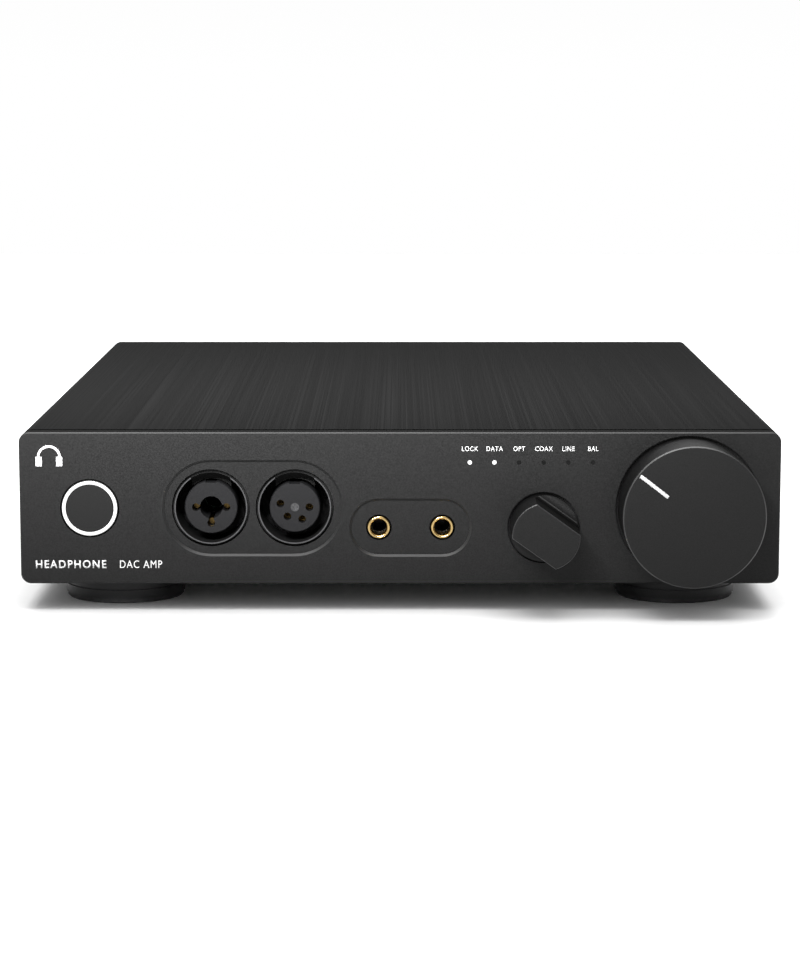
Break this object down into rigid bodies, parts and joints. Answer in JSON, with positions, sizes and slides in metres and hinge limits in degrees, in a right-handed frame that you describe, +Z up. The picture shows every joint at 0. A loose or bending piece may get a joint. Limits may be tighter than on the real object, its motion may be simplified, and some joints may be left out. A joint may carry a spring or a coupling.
{
  "type": "desktop dac headphone amplifier",
  "caption": "Half-width black desktop DAC and headphone amplifier with round and small headphone sockets, source selector, large volume knob, lit power button and round feet.",
  "frame": {"origin": "on the table, under the middle of the whole object", "axes": "+X to the right seen from the front, +Y to the back, +Z up"},
  "size_m": [0.224, 0.306, 0.053],
  "materials": {
    "anodised_panel": "black anodised, fine bead-blasted",
    "brushed_cover": "black anodised, brushed front to back",
    "anodised_knob": "black anodised, satin",
    "button_black": "black anodised, satin",
    "painted_sheet": "black powder coat",
    "moulded_black": "moulded, fine texture",
    "socket_metal": "black plated die casting",
    "rim_nickel": "nickel plated",
    "gold_plate": "gold plated",
    "bright_plate": "nickel plated",
    "black_screw": "black oxide",
    "steel_part": "turned",
    "light_white": "white, translucent",
    "light_dark": "smoked, unlit",
    "phono_insulator": "moulded white",
    "gain_plastic": "moulded",
    "control_body": "moulded",
    "foot_plastic": "moulded, satin",
    "pad_rubber": "soft rubber",
    "board_green": "glass fibre board, solder mask",
    "spacer_brass": "turned brass",
    "heatsink_black": "black anodised extrusion",
    "capacitor_sleeve": "shrink sleeve",
    "winding_copper": "taped winding"
  },
  "bodies": {
    "case": {"front_panel": "anodised_panel", "top_cover": "brushed_cover", "chassis_tray": "painted_sheet", "front_frame": "painted_sheet", "rear_panel": "painted_sheet", "headphone_shells": "moulded_black", "combo_insert": "moulded_black", "four_pole_insert": "moulded_black", "input_inserts": "moulded_black", "mains_inlet": "moulded_black", "optical_socket": "moulded_black", "jack_barrels": "moulded_black", "input_shells": "socket_metal", "output_shells": "socket_metal", "socket_rims": "rim_nickel", "jack_collars": "gold_plate", "phono_barrels": "gold_plate", "headphone_contacts": "gold_plate", "input_contacts": "gold_plate", "output_pins": "gold_plate", "mains_pins": "bright_plate", "data_socket": "bright_plate", "four_pole_screw": "bright_plate", "shield_can": "bright_plate", "transformer_clamp": "bright_plate", "case_screws": "black_screw", "cover_screws": "black_screw", "foot_screws": "black_screw", "socket_screws": "black_screw", "board_screws": "steel_part", "power_ring_light": "light_white", "lit_lamps": "light_white", "unlit_lamps": "light_dark", "phono_cores": "phono_insulator", "data_tongue": "phono_insulator", "power_switch": "control_body", "selector_switch": "control_body", "potentiometer": "control_body", "gain_switch": "control_body", "foot_rings": "foot_plastic", "foot_pads": "pad_rubber", "main_board": "board_green", "front_board": "board_green", "power_board": "board_green", "board_spacers": "spacer_brass", "heatsinks": "heatsink_black", "capacitors": "capacitor_sleeve", "transformer": "winding_copper"},
    "power": {"power_button": "button_black"},
    "selector": {"selector_knob": "anodised_knob", "selector_shaft": "steel_part", "selector_set_screw": "black_screw"},
    "volume": {"volume_knob": "anodised_knob", "volume_pointer": "light_white", "volume_shaft": "steel_part", "volume_set_screw": "black_screw"},
    "gain": {"gain_knob": "gain_plastic"},
    "optical_cover": {"optical_flap": "moulded_black"},
    "tab_left": {"release_tab_left": "moulded_black"},
    "tab_right": {"release_tab_right": "moulded_black"}
  },
  "joints": [
    {"name": "power_press", "type": "slide", "parent": "case", "child": "power", "axis": [0, 1, 0], "range_m": [0, 0.001], "stiffness_N_per_m": 400},
    {"name": "selector_turn", "type": "hinge", "parent": "case", "child": "selector", "pos_m": [0.0423, -0.1345, 0.02476], "axis": [0, 1, 0], "range_deg": [0, 109]},
    {"name": "volume_turn", "type": "hinge", "parent": "case", "child": "volume", "pos_m": [0.085, -0.1345, 0.0305], "axis": [0, 1, 0], "range_deg": [-97.7, 202.3]},
    {"name": "gain_turn", "type": "hinge", "parent": "case", "child": "gain", "pos_m": [0.018, 0.1445, 0.0305], "axis": [0, -1, 0], "range_deg": [-60, 60]},
    {"name": "optical_swing", "type": "hinge", "parent": "case", "child": "optical_cover", "pos_m": [0.048, 0.1459, 0.0337], "axis": [-1, 0, 0], "range_deg": [0, 80], "stiffness_Nm_per_rad": 0.0002},
    {"name": "tab_left_press", "type": "slide", "parent": "case", "child": "tab_left", "axis": [0, 0, -1], "range_m": [0, 0.0012], "stiffness_N_per_m": 300},
    {"name": "tab_right_press", "type": "slide", "parent": "case", "child": "tab_right", "axis": [0, 0, -1], "range_m": [0, 0.0012], "stiffness_N_per_m": 300}
  ]
}
